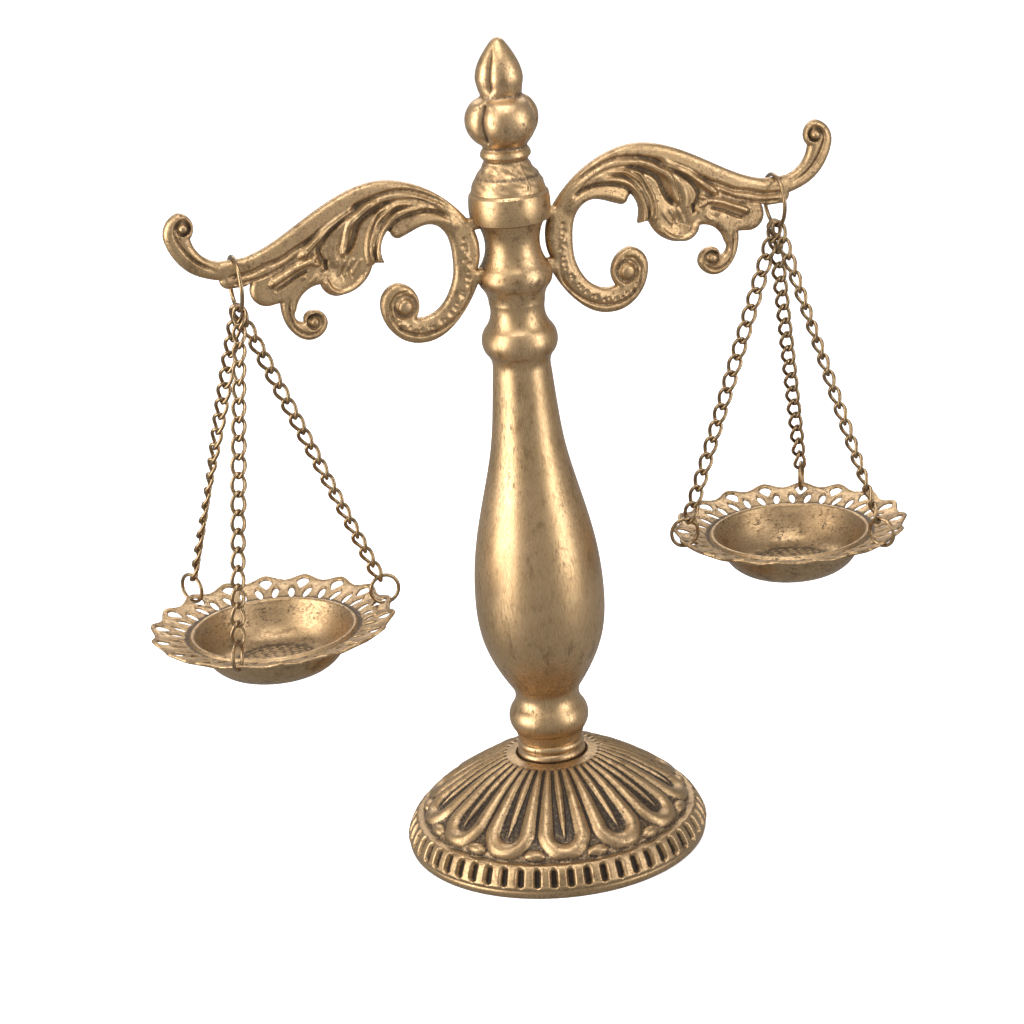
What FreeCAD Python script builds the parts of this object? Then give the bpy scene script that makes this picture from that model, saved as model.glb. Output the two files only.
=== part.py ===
import FreeCAD, Part
import math
import os
import Sketcher

# Decorative brass balance scale.
#
# A hollow fluted foot, a turned collar, a vase-shaped column, a beam hub and
# a bud finial are threaded on one tie rod and clamped by a nut under the
# foot.  Two scrolled acanthus arms are keyed into the hub.  A ring sits over
# the rail of each arm and carries three chains, three rim rings and a pan
# with a pierced, scalloped rim.
#
# Frame: millimetres, +Z up, beam along X, front towards -Y, origin at the
# middle of the underside of the foot.

V = FreeCAD.Vector
doc = FreeCAD.newDocument("BalanceScale")

# ----------------------------------------------------------------- sizes
DIMENSIONS = [
    # stack of turned pieces, heights of their seats above the ground
    ("collar_seat", 30.0, "underside of the lower collar"),
    ("column_seat", 39.0, "underside of the column"),
    ("hub_seat", 186.0, "underside of the beam hub"),
    ("finial_seat", 222.0, "underside of the finial"),
    ("finial_height", 48.0, "finial from its seat to its tip"),
    # tie rod and its fixings
    ("rod_radius", 2.5, "tie rod"),
    ("rod_bottom", 17.0, "lower end of the tie rod above the ground"),
    ("rod_length", 227.0, "tie rod, end to end"),
    ("bore_radius", 2.8, "clearance bore of the clamped pieces"),
    ("thread_depth", 24.0, "blind hole of the finial"),
    ("foot_ceiling", 26.0, "ceiling inside the foot"),
    ("washer_radius", 7.5, "washer under the foot"),
    ("washer_thickness", 1.2, "washer under the foot"),
    ("nut_across_corners", 9.24, "hexagon nut, corner to corner"),
    ("nut_height", 4.0, "hexagon nut"),
    # foot
    ("foot_radius", 50.0, "widest radius of the foot"),
    ("foot_land", 46.2, "inner radius of the ring the foot stands on"),
    ("groove_wide", 2.0, "grooves inside each petal"),
    ("groove_narrow", 1.1, "grooves between the petals"),
    ("petal_count", 13, "petals round the foot"),
    ("petal_loop", 6.0, "radius of the rounded petal tips"),
    ("petal_wire", 2.1, "half thickness of the petal tips"),
    ("petal_sink", 1.3, "depth of the petal tips' centre line under the surface"),
    ("pearl_radius", 2.3, "pearls between the petal tips"),
    ("pearl_circle", 42.4, "circle the pearls stand on"),
    ("notch_count", 55, "notches round the outer band"),
    ("notch_width", 1.7, "notches round the outer band"),
    # column
    ("column_height", 147.0, "column, seat to seat"),
    ("belly_radius", 21.2, "widest radius of the column"),
    # arms
    ("arm_thickness", 4.6, "arms, front to back"),
    ("eye_radius", 2.9, "domed eyes of the scrolls"),
    ("key_clearance", 0.1, "slots of the hub over the arm keys"),
    ("saddle_length", 7.0, "rounded stretch of the rail under the ring"),
    ("rail_top", 27.3, "top of the rail above the hub seat"),
    ("rail_depth", 9.0, "rail, top to bottom"),
    # suspension
    ("hang_offset", 89.5, "rings and pans from the column axis"),
    ("ring_radius", 8.35, "hanging ring, centre of the wire"),
    ("ring_wire", 0.65, "half thickness of the hanging ring"),
    ("rim_ring_radius", 4.65, "rim ring, centre of the wire"),
    ("rim_ring_wire", 0.6, "half thickness of the rim rings"),
    ("link_count", 18, "links in each chain"),
    ("link_width", 4.9, "outside width of a link"),
    ("link_wire", 0.55, "half thickness of a link"),
    ("top_link_spacing", 1.25, "between the links that share the hanging ring"),
    ("play", 0.03, "gap left between hanging pieces"),
    # pans
    ("pan_bottom", 78.4, "underside of a pan above the ground"),
    ("rim_underside", 16.0, "underside of the rim above the pan bottom"),
    ("rim_thickness", 1.2, "pierced rim"),
    ("rim_radius", 39.0, "tips of the rim lobes"),
    ("lobe_count", 18, "lobes of the rim"),
    ("lobe_radius", 7.5, "lobes of the rim"),
    ("hole_circle", 34.8, "large holes, one in each lobe"),
    ("hole_radius", 2.2, "large holes, one in each lobe"),
    ("inner_hole_circle", 30.4, "small holes further in, two to a lobe"),
    ("inner_hole_radius", 1.0, "small holes further in, two to a lobe"),
]

sheet = doc.addObject("Spreadsheet::Sheet", "Dimensions")
for row, (alias, value, note) in enumerate(DIMENSIONS, 1):
    sheet.set("A%d" % row, alias)
    sheet.set("B%d" % row, str(value))
    sheet.set("C%d" % row, note)
    sheet.setAlias("B%d" % row, alias)
doc.recompute()


def dim(alias):
    """Value of one named cell of the sheet."""
    return float(sheet.get(alias))


def bind(obj, prop, expression):
    """Tie a property to the sheet; names in braces are cell aliases."""
    obj.setExpression(prop, expression.replace("{", "Dimensions.").replace("}", ""))


# ------------------------------------------------------------ sketch tools
def new_body(label):
    body = doc.addObject("PartDesign::Body", label)
    body.Label = label
    return body


def origin_plane(body, role):
    return [f for f in body.Origin.OriginFeatures if f.Role == role][0]


def new_sketch(body, role, turn=0.0, lift=0.0):
    """Sketch on an origin plane, turned about its own upright by `turn`."""
    sketch = body.newObject("Sketcher::SketchObject", "Outline")
    sketch.AttachmentSupport = [(origin_plane(body, role), "")]
    sketch.MapMode = "FlatFace"
    axis = V(0, 1, 0)
    sketch.AttachmentOffset = FreeCAD.Placement(V(0, 0, lift), FreeCAD.Rotation(axis, turn))
    return sketch


def number(value):
    """A coordinate is a plain number or the name of a cell."""
    return dim(value) if isinstance(value, str) else float(value)


def point(pair):
    return V(number(pair[0]), number(pair[1]), 0)


def end_near(sketch, index, where):
    first = sketch.getPoint(index, 1)
    last = sketch.getPoint(index, 2)
    return 1 if first.distanceToPoint(where) <= last.distanceToPoint(where) else 2


def trace(sketch, start, steps):
    """Draw a closed outline.

    Each step is a list of points after the present one: one point draws a
    line, two points an arc (through the first), more points a spline.  A
    line closes the outline where the last step leaves it open.
    """
    if steps[-1][-1] != start:
        steps = steps + [[start]]
    here = start
    ends = []
    for step in steps:
        through = [point(here)] + [point(p) for p in step]
        if len(through) == 2:
            shape = Part.LineSegment(through[0], through[1])
        elif len(through) == 3:
            shape = Part.Arc(through[0], through[1], through[2])
        else:
            shape = Part.BSplineCurve()
            shape.interpolate(through)
        index = sketch.addGeometry(shape, False)
        ends.append((index, end_near(sketch, index, through[0]),
                     end_near(sketch, index, through[-1])))
        here = step[-1]
    for current, following in zip(ends, ends[1:] + ends[:1]):
        sketch.addConstraint(Sketcher.Constraint("Coincident", current[0], current[2],
                                                 following[0], following[1]))
    here = start
    for (index, first, last), step in zip(ends, steps):
        pin(sketch, index, first, here)
        here = step[-1]


def pin(sketch, index, end, pair):
    """Hold a corner at the cells it is named after."""
    for kind, value in zip(("DistanceX", "DistanceY"), pair):
        if isinstance(value, str):
            number_of = sketch.addConstraint(
                Sketcher.Constraint(kind, -1, 1, index, end, dim(value)))
            bind(sketch, "Constraints[%d]" % number_of, "{%s}" % value)


def circle(sketch, x, y, radius):
    """Circle whose radius follows a named cell."""
    index = sketch.addGeometry(Part.Circle(V(x, y, 0), V(0, 0, 1), dim(radius)), False)
    rule = sketch.addConstraint(Sketcher.Constraint("Radius", index, dim(radius)))
    bind(sketch, "Constraints[%d]" % rule, "{%s}" % radius)
    return index


def turned(body, start, steps):
    """Solid of revolution about the body's own Z axis."""
    sketch = new_sketch(body, "XZ_Plane")
    trace(sketch, start, steps)
    solid = body.newObject("PartDesign::Revolution", "Turned")
    solid.Profile = sketch
    solid.ReferenceAxis = (sketch, ["V_Axis"])
    solid.Angle = 360
    sketch.Visibility = False
    return solid


def pad(body, sketch, length, both_ways=False):
    solid = body.newObject("PartDesign::Pad", "Pad")
    solid.Profile = sketch
    solid.Midplane = both_ways
    bind(solid, "Length", length)
    return solid


def pocket(body, sketch, length):
    """Cut to both sides of the sketch."""
    cut = body.newObject("PartDesign::Pocket", "Pocket")
    cut.Profile = sketch
    cut.Midplane = True
    bind(cut, "Length", length)
    return cut


def around(body, feature, count):
    """Repeat a feature round the body's Z axis."""
    pattern = body.newObject("PartDesign::PolarPattern", "Around")
    pattern.Originals = [feature]
    axis = [f for f in body.Origin.OriginFeatures if f.Role == "Z_Axis"][0]
    pattern.Axis = (axis, [""])
    pattern.Angle = 360
    bind(pattern, "Occurrences", count)
    body.Tip = pattern
    doc.recompute()
    return pattern


def seat(body, height):
    """Stand a body on its seat above the ground."""
    bind(body, "Placement.Base.z", height)


# -------------------------------------------------------------------- foot
FOOT_FRONT = -90.6      # direction of one gap between petals, degrees


def make_foot():
    body = new_body("base")
    turned(body, ("foot_land", 0.0), [
        [(49.2, 0.0)],
        [("foot_radius", 1.9), (49.7, 3.6)],
        [(49.2, 4.2)],
        [(46.8, 8.6)],
        [(45.4, 10.0)],
        [(44.2, 11.2)],
        [(36.0, 18.0), (26.0, 25.0), (18.0, 29.0), (15.5, 29.9)],
        [(12.2, 30.5)],
        [(12.0, "collar_seat")],
        [("bore_radius", "collar_seat")],
        [("bore_radius", "foot_ceiling")],
        [(10.0, "foot_ceiling")],
        [(17.0, 25.2), (24.5, 21.6), (34.0, 15.0), (41.0, 9.3), (46.0, 3.0)],
    ])
    # radial grooves: one between neighbouring petals, two inside each
    petal = 360.0 / dim("petal_count")
    for angle, width, end in ((0.0, "{groove_narrow}", 41.0),
                              (petal / 2.0 - 4.4, "{groove_wide}", 39.5),
                              (petal / 2.0 + 4.4, "{groove_wide}", 39.5)):
        sketch = new_sketch(body, "XZ_Plane", turn=FOOT_FRONT + angle)
        trace(sketch, (15.2, 31.5), [
            [(15.6, 29.7)],
            [(18.0, 28.0), (26.0, 23.9), (36.0, 16.8), (end, 14.9)],
            [(end + 1.5, 20.0)],
        ])
        around(body, pocket(body, sketch, width), "{petal_count}")
    # rounded petal tips, half sunk into the slope
    tip = body.newObject("PartDesign::AdditiveTorus", "PetalTip")
    bind(tip, "Radius1", "{petal_loop}")
    bind(tip, "Radius2", "{petal_wire}")
    tip.Angle3 = 180
    slope = 39.0
    sink = dim("petal_sink")
    reach = 36.8 - sink * math.sin(math.radians(slope))
    height = 17.3 - sink * math.cos(math.radians(slope))
    middle = FOOT_FRONT + petal / 2.0
    tip.Placement = FreeCAD.Placement(
        V(reach * math.cos(math.radians(middle)), reach * math.sin(math.radians(middle)), height),
        FreeCAD.Rotation(V(0, 0, 1), middle) * FreeCAD.Rotation(V(0, 1, 0), slope)
        * FreeCAD.Rotation(V(0, 0, 1), -90.0))
    around(body, tip, "{petal_count}")
    # pearls between the tips
    pearl = body.newObject("PartDesign::AdditiveSphere", "Pearl")
    bind(pearl, "Radius", "{pearl_radius}")
    front = math.radians(FOOT_FRONT)
    pearl.Placement.Base = V(dim("pearl_circle") * math.cos(front),
                             dim("pearl_circle") * math.sin(front), 12.0)
    around(body, pearl, "{petal_count}")
    # upright notches round the band above the lip
    sketch = new_sketch(body, "XZ_Plane", turn=FOOT_FRONT)
    trace(sketch, (45.6, 8.4), [
        [(48.2, 3.9)],
        [(50.4, 4.4)],
        [(47.8, 10.0)],
    ])
    around(body, pocket(body, sketch, "{notch_width}"), "{notch_count}")
    return body


# ----------------------------------------------------------- turned pieces
def make_collar():
    body = new_body("lower_collar")
    turned(body, ("bore_radius", 0.0), [
        [(10.9, 0.0)],
        [(11.3, 1.2), (10.7, 2.4)],
        [(10.3, 2.8)],
        [(10.9, 3.4)],
        [(11.1, 4.3), (10.8, 5.2)],
        [(10.3, 5.6)],
        [(10.7, 6.2)],
        [(11.0, 7.6), (11.5, 9.0)],
        [("bore_radius", 9.0)],
    ])
    seat(body, "{collar_seat}")
    return body


def make_column():
    body = new_body("column")
    turned(body, ("bore_radius", 0.0), [
        [(11.4, 0.0)],
        [(13.2, 4.5), (11.6, 9.2)],
        [(10.6, 12.6), (11.4, 15.5)],
        [(16.0, 23.3), (19.75, 33.0), ("belly_radius", 48.0), (20.0, 63.0), (16.2, 81.0),
         (12.1, 99.0), (10.35, 114.0), (9.35, 126.0)],
        [(9.7, 128.6), (11.0, 130.6)],
        [(12.2, 134.6), (11.0, 138.6)],
        [(8.75, 143.4), (9.0, "column_height")],
        [("bore_radius", "column_height")],
    ])
    seat(body, "{column_seat}")
    return body


def make_hub():
    body = new_body("beam_hub")
    turned(body, ("bore_radius", 0.0), [
        [(9.0, 0.0)],
        [(9.4, 2.7), (11.1, 5.6)],
        [(12.0, 8.6), (11.1, 11.8)],
        [(9.4, 15.0), (8.7, 18.6), (9.2, 22.6), (10.6, 26.1)],
        [(12.5, 26.9)],
        [(12.95, 31.2), (12.6, 35.2)],
        [(11.9, 36.0)],
        [("bore_radius", 36.0)],
    ])
    # slots for the keys of the arms
    for floor, low, high in ((10.3, 25.0, 29.0), (8.0, 7.5, 12.5)):
        sketch = new_sketch(body, "XZ_Plane")
        trace(sketch, (floor, low), [
            [(15.0, low)],
            [(15.0, high)],
            [(floor, high)],
            [(floor, low)],
        ])
        around(body, pocket(body, sketch, "{arm_thickness} + {key_clearance}"), "2")
    seat(body, "{hub_seat}")
    return body


def make_finial():
    body = new_body("finial")
    turned(body, ("rod_radius", 0.0), [
        [(11.9, 0.0)],
        [(11.5, 1.5)],
        [(10.8, 3.5), (9.9, 5.0), (8.4, 7.0), (7.0, 9.4)],
        [(8.0, 11.6), (7.1, 13.6)],
        [(7.7, 15.2)],
        [(10.6, 18.0), (11.95, 22.0), (11.5, 25.2), (9.5, 28.2), (6.5, 30.0)],
        [(7.65, 36.0), (5.6, 42.0), (3.3, 45.3), (1.4, 47.4), (0.0, "finial_height")],
        [(0.0, "thread_depth")],
        [("rod_radius", "thread_depth")],
    ])
    # creases that split the bulb into lobes
    crease = body.newObject("PartDesign::SubtractiveCylinder", "Crease")
    crease.Radius = 1.0
    crease.Height = 14.0
    crease.Placement.Base = V(12.2, 0, 15.5)
    around(body, crease, "6")
    seat(body, "{finial_seat}")
    return body


# ------------------------------------------------------------- tie rod set
def make_rod():
    body = new_body("tie_rod")
    sketch = new_sketch(body, "XY_Plane")
    circle(sketch, 0, 0, "rod_radius")
    pad(body, sketch, "{rod_length}")
    seat(body, "{rod_bottom}")
    return body


def make_washer():
    body = new_body("rod_washer")
    sketch = new_sketch(body, "XY_Plane")
    circle(sketch, 0, 0, "washer_radius")
    circle(sketch, 0, 0, "bore_radius")
    pad(body, sketch, "{washer_thickness}")
    seat(body, "{foot_ceiling} - {washer_thickness}")
    return body


def make_nut():
    body = new_body("rod_nut")
    sketch = new_sketch(body, "XY_Plane")
    corner = dim("nut_across_corners") / 2.0
    ring = [(corner * math.cos(math.radians(60 * k)), corner * math.sin(math.radians(60 * k)))
            for k in range(6)]
    trace(sketch, ring[0], [[p] for p in ring[1:] + ring[:1]])
    circle(sketch, 0, 0, "rod_radius")
    pad(body, sketch, "{nut_height}")
    seat(body, "{foot_ceiling} - {washer_thickness} - {nut_height}")
    return body


# -------------------------------------------------------------------- arms
def arm_outline(side):
    """Outline of one arm; `side` is +1 for the right arm, -1 for the left."""
    start = (10.3, 29.0)
    steps = [
        # key and rising back of the arch, down to the rail
        [(14.3, 29.0)],
        [(20.0, 35.4), (30.0, 42.0), (42.5, 44.9), (55.0, 42.0), (70.0, 34.2),
         (80.0, 29.1), (86.0, 27.3)],
        [(94.0, 27.3)],
        # end scroll: inner edge, head, outer edge
        [(99.2, 30.2), (101.9, 35.8)],
        [(101.2, 41.6), (104.8, 44.0)],
        [(109.0, 41.0), (109.9, 35.8)],
        [(107.3, 29.7), (103.2, 25.2), (97.3, 22.3), (94.4, 21.5)],
        # end of the rail and the small lobe behind it
        [(93.6, 19.2), (91.4, 18.3)],
        [(86.5, 18.3)],
        [(84.6, 19.2)],
        [(85.0, 14.6), (79.6, 11.1)],
        [(76.2, 11.5)],
        # drop scroll
        [(76.0, 7.8), (73.4, 1.6), (67.9, -1.7), (63.3, 0.2), (61.9, 3.4), (63.2, 6.4), (66.1, 7.5)],
        [(68.8, 6.6), (69.4, 4.4)],
        [(71.2, 5.0), (71.4, 8.6)],
        [(68.6, 13.4), (63.0, 15.4)],
        # cupped lobe
        [(61.2, 12.2), (56.3, 11.0)],
        [(49.4, 13.8), (46.0, 18.8)],
        # second leaf tip, then the first
        [(45.0, 19.4)],
        [(41.9, 19.0)],
        [(42.7, 24.2), (40.2, 29.0)],
        [(39.2, 28.0)],
        [(38.3, 26.5), (36.9, 26.0)],
        [(34.6, 26.8), (31.1, 28.2), (27.3, 29.0)],
        # inner edge of the large C
        [(23.8, 27.8), (21.2, 24.6), (19.9, 18.6), (20.2, 11.0), (21.8, 6.6), (24.6, 2.6),
         (28.6, 0.1), (33.4, 0.0)],
        # head of the lower scroll, then its outer edge back to the hub
        [(32.7, 7.4), (38.8, 11.9)],
        [(43.2, 9.4), (44.6, 4.7)],
        [(42.7, -1.8), (37.3, -7.1), (31.0, -8.5), (25.0, -6.9), (20.2, -3.3), (16.2, 1.4),
         (12.6, 7.5)],
        # lower key
        [(8.0, 7.5)],
        [(8.0, 12.5)],
        [(12.2, 12.5)],
        [(11.0, 18.8), (12.2, 25.0)],
        [(10.3, 25.0)],
        [(10.3, 29.0)],
    ]

    def turn(pair):
        return (side * pair[0], pair[1])

    return turn(start), [[turn(p) for p in step] for step in steps]


def make_arm(label, side):
    body = new_body(label)
    sketch = new_sketch(body, "XZ_Plane")
    start, steps = arm_outline(side)
    trace(sketch, start, steps)
    pad(body, sketch, "{arm_thickness}", both_ways=True)
    # domed eyes of the three scrolls stand proud of both faces
    for x, z in ((36.9, 4.5), (66.5, 4.2), (104.9, 39.4)):
        eye = body.newObject("PartDesign::AdditiveSphere", "Eye")
        bind(eye, "Radius", "{eye_radius}")
        eye.Placement.Base = V(side * x, 0, z)
    # the rail is rounded over where the ring hangs
    saddle = new_sketch(body, "YZ_Plane", lift=side * dim("hang_offset"))
    half = dim("arm_thickness") / 2.0
    top = dim("rail_top")
    low = top - dim("rail_depth")
    trace(saddle, (-6.0, low - 3.0), [
        [(6.0, low - 3.0)],
        [(6.0, top + 3.0)],
        [(-6.0, top + 3.0)],
        [(-6.0, low - 3.0)],
    ])
    trace(saddle, (half, low + half), [
        [(half, top - half)],
        [(0.0, top), (-half, top - half)],
        [(-half, low + half)],
        [(0.0, low), (half, low + half)],
    ])
    pocket(body, saddle, "{saddle_length}")
    seat(body, "{hub_seat}")
    return body


# -------------------------------------------------------------------- pans
def make_pan(label, side):
    body = new_body(label)
    # bowl with a rolled lip, and the plain part of the rising rim
    turned(body, (0.0, 0.0), [
        [(12.0, 0.0)],
        [(19.8, 3.0), (23.6, 9.0)],
        [(24.8, 11.0)],
        [(27.6, 11.6)],
        [(32.0, "rim_underside")],
        [(35.5, "rim_underside")],
        [(35.5, 17.2)],
        [(31.6, 17.2)],
        [(27.5, 13.0)],
        [(26.1, 13.9), (24.8, 12.6)],
        [(22.5, 9.3)],
        [(18.8, 4.0), (11.9, 1.2)],
        [(0.0, 1.2)],
    ])
    # scalloped edge; one lobe points at the column
    inward = -side
    reach = dim("rim_radius") - dim("lobe_radius")
    sketch = new_sketch(body, "XY_Plane", lift=dim("rim_underside"))
    circle(sketch, inward * reach, 0, "lobe_radius")
    around(body, pad(body, sketch, "{rim_thickness}"), "{lobe_count}")
    # pierced pattern: a large hole in each lobe, two small ones further in
    quarter = math.pi / 2.0 / dim("lobe_count")
    for offset, radius, turn, count in (
            ("hole_circle", "hole_radius", 0.0, "{lobe_count}"),
            ("inner_hole_circle", "inner_hole_radius", quarter, "2 * {lobe_count}")):
        sketch = new_sketch(body, "XY_Plane", lift=dim("rim_underside"))
        circle(sketch, inward * dim(offset) * math.cos(turn), dim(offset) * math.sin(turn), radius)
        around(body, pocket(body, sketch, "6"), count)
    bind(body, "Placement.Base.x", "%d * {hang_offset}" % side)
    seat(body, "{pan_bottom}")
    return body


# ----------------------------------------------------------- rings, chains
def rail_height():
    return dim("hub_seat") + dim("rail_top")


def ring_centre_height():
    """The inside of the ring rests on top of the rail."""
    return rail_height() + dim("play") + dim("ring_wire") - dim("ring_radius")


def make_hang_ring(label, side):
    ring = doc.addObject("Part::Torus", label)
    ring.Label = label
    bind(ring, "Radius1", "{ring_radius}")
    bind(ring, "Radius2", "{ring_wire}")
    ring.Placement = FreeCAD.Placement(V(side * dim("hang_offset"), 0, ring_centre_height()),
                                       FreeCAD.Rotation(V(0, 1, 0), 90))
    bind(ring, "Placement.Base.x", "%d * {hang_offset}" % side)
    return ring


def suspension(side, bearing):
    """Points of one chain: top and bottom of the chain, centre of its rim ring.

    `bearing` is the direction of the chain's foot seen from above the pan. The
    rim ring passes through the large hole of a lobe and bears under its tip.
    """
    radial = V(math.cos(bearing), math.sin(bearing), 0)
    axis = V(side * dim("hang_offset"), 0, 0)
    # the three top links sit side by side in the bottom of the hanging ring
    offset = dim("top_link_spacing") * round(math.sin(bearing))
    sag = dim("ring_radius") - math.sqrt(dim("ring_radius") ** 2 - offset ** 2)
    hook = axis + V(0, offset, ring_centre_height() - dim("ring_radius") + sag)
    under_rim = dim("pan_bottom") + dim("rim_underside") - dim("play")
    inner = dim("rim_ring_radius") - dim("rim_ring_wire")
    reach = dim("rim_radius")
    lean = math.atan2(reach, hook.z - under_rim)
    up = V(0, 0, math.cos(lean)) - radial * math.sin(lean)
    across_wire = V(up.x, 0, up.z).normalize()
    top = hook + across_wire * (dim("ring_wire") + dim("link_wire") + dim("play"))
    centre = axis + radial * reach + V(0, 0, under_rim) + up * inner
    down = (top - centre).normalize()
    foot = centre + down * (dim("rim_ring_radius") - dim("rim_ring_wire")
                            - dim("link_wire") - dim("play"))
    return radial, top, foot, centre


def make_rim_ring(label, side, bearing):
    radial, top, foot, centre = suspension(side, bearing)
    ring = doc.addObject("Part::Torus", label)
    ring.Label = label
    bind(ring, "Radius1", "{rim_ring_radius}")
    bind(ring, "Radius2", "{rim_ring_wire}")
    across = V(0, 0, 1).cross(radial)
    ring.Placement = FreeCAD.Placement(centre, FreeCAD.Rotation(V(0, 0, 1), across))
    return ring


def make_link(length, width, wire):
    """One oval link standing upright in the XZ plane, centred on the origin."""
    bend = width / 2.0 - wire
    straight = length / 2.0 - width / 2.0
    right_low = V(bend, 0, -straight)
    right_high = V(bend, 0, straight)
    left_high = V(-bend, 0, straight)
    left_low = V(-bend, 0, -straight)
    over = V(0, 0, straight + bend)
    under = V(0, 0, -straight - bend)
    loop = Part.Wire([
        Part.LineSegment(right_low, right_high).toShape(),
        Part.Arc(right_high, over, left_high).toShape(),
        Part.LineSegment(left_high, left_low).toShape(),
        Part.Arc(left_low, under, right_low).toShape(),
    ])
    section = Part.Wire([Part.Circle(right_low, V(0, 0, 1), wire).toShape()])
    return loop.makePipeShell([section], True, False)


def make_chain(label, side, bearing):
    radial, top, foot, centre = suspension(side, bearing)
    count = int(dim("link_count"))
    wire = dim("link_wire")
    along = foot - top
    reach = along.Length
    # neighbouring links hook into each other with a little play
    pitch = (reach - 2.0 * wire - dim("play")) / count
    length = pitch + 4.0 * wire + dim("play")
    link = make_link(length, dim("link_width"), wire)
    down = along.normalize()
    up = down * -1.0
    tilt = FreeCAD.Rotation(V(0, 0, 1), up)
    # the first link loops round the ring, the last one round the rim ring:
    # a quarter turn from link to link, plus an even share of what remains
    facing = tilt.multVec(V(1, 0, 0))
    tangent = V(0, 0, 1).cross(radial)
    first = math.degrees(twist_to(V(1, 0, 0), facing, up))
    last = math.degrees(twist_to(tangent, facing, up))
    turns = 90.0 * (count - 1)
    spare = (last - first - turns + 90.0) % 180.0 - 90.0
    links = []
    for k in range(count):
        middle = down * (length / 2.0 - wire + pitch * k)
        roll = first + (turns + spare) * k / (count - 1.0)
        piece = link.copy()
        piece.Placement = FreeCAD.Placement(middle, tilt * FreeCAD.Rotation(V(0, 0, 1), roll))
        links.append(piece)
    chain = doc.addObject("Part::Feature", label)
    chain.Label = label
    chain.Shape = Part.makeCompound(links)
    chain.Placement = FreeCAD.Placement(top, FreeCAD.Rotation())
    return chain


def twist_to(target, facing, axis):
    """Angle about `axis` that brings `facing` nearest to `target`."""
    flat = target - axis * target.dot(axis)
    return math.atan2(axis.dot(facing.cross(flat)), facing.dot(flat))


# ---------------------------------------------------------------- assembly
parts = [
    make_foot(),
    make_rod(),
    make_washer(),
    make_nut(),
    make_collar(),
    make_column(),
    make_hub(),
    make_finial(),
]

for name, side in (("left", -1), ("right", 1)):
    parts.append(make_arm(name + "_arm", side))
    parts.append(make_hang_ring(name + "_hang_ring", side))
    # one chain runs towards the column, two fan outwards
    inward = math.pi if side > 0 else 0.0
    for mark, turn in (("inner", 0.0), ("front", 120.0 * side), ("back", -120.0 * side)):
        bearing = inward + math.radians(turn)
        parts.append(make_chain("%s_%s_chain" % (name, mark), side, bearing))
        parts.append(make_rim_ring("%s_%s_rim_ring" % (name, mark), side, bearing))
    parts.append(make_pan(name + "_pan", side))

doc.recompute()

# ------------------------------------------------------------------ export
for obj in doc.Objects:
    if "Invalid" in obj.State or "Error" in obj.State:
        raise RuntimeError("%s does not build: %s" % (obj.Label, obj.State))

os.makedirs("parts", exist_ok=True)
for obj in parts:
    shape = obj.Shape
    if shape.isNull() or not shape.isValid():
        raise RuntimeError("bad shape: " + obj.Label)
    shape.exportStep("parts/%s.step" % obj.Label)
    print("%-24s solids %2d  volume %9.1f mm3" % (obj.Label, len(shape.Solids), shape.Volume))
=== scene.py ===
import math

import bpy
import numpy as np
from mathutils import Matrix, Vector


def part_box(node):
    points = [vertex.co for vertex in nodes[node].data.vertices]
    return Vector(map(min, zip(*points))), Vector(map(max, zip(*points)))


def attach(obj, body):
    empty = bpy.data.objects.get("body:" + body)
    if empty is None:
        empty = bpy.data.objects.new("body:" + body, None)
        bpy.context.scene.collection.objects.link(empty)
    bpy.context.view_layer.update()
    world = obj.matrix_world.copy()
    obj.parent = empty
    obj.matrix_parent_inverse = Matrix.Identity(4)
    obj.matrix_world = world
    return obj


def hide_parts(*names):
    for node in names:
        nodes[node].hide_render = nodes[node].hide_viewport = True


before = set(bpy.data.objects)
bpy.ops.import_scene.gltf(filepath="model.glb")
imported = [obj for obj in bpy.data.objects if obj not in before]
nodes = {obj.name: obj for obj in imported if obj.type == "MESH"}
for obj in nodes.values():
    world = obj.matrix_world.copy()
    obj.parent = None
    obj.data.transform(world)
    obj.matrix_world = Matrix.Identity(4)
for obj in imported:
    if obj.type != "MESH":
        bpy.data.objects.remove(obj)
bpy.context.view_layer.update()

MM = 0.001
SIDES = (("left", -1), ("right", 1))


# ---- mesh helpers
def piece(name, points, faces, body, stands_for, cavity=None):
    """A mesh piece in millimetres, riding on a body in place of a CAD node."""
    mesh = bpy.data.meshes.new(name)
    mesh.from_pydata((np.asarray(points) * MM).tolist(), [], faces)
    mesh.polygons.foreach_set("use_smooth", np.ones(len(mesh.polygons), bool))
    if cavity is not None:
        layer = mesh.attributes.new("cavity", "FLOAT", "POINT")
        layer.data.foreach_set("value", np.asarray(cavity, np.float32))
    mesh.update()
    obj = bpy.data.objects.new(name, mesh)
    bpy.context.scene.collection.objects.link(obj)
    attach(obj, body)
    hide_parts(stands_for)
    return obj


def curve_through(points, per_span=8):
    """A smooth line through given points (Catmull-Rom)."""
    p = np.asarray(points, float)
    p = np.vstack([2 * p[0] - p[1], p, 2 * p[-1] - p[-2]])
    t = np.linspace(0, 1, per_span, endpoint=False)[:, None]
    spans = []
    for a, b, c, d in zip(p, p[1:], p[2:], p[3:]):
        spans.append(0.5 * (2 * b + (c - a) * t + (2 * a - 5 * b + 4 * c - d) * t ** 2
                            + (3 * b - a - 3 * c + d) * t ** 3))
    return np.vstack(spans + [p[-2:-1]])


def resample(line, step):
    """The same line with points evenly spaced along it."""
    line = np.asarray(line, float)
    run = np.concatenate([[0], np.cumsum(np.linalg.norm(np.diff(line, axis=0), axis=1))])
    at = np.linspace(0, run[-1], max(2, int(round(run[-1] / step)) + 1))
    return np.column_stack([np.interp(at, run, line[:, k]) for k in range(line.shape[1])])


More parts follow.
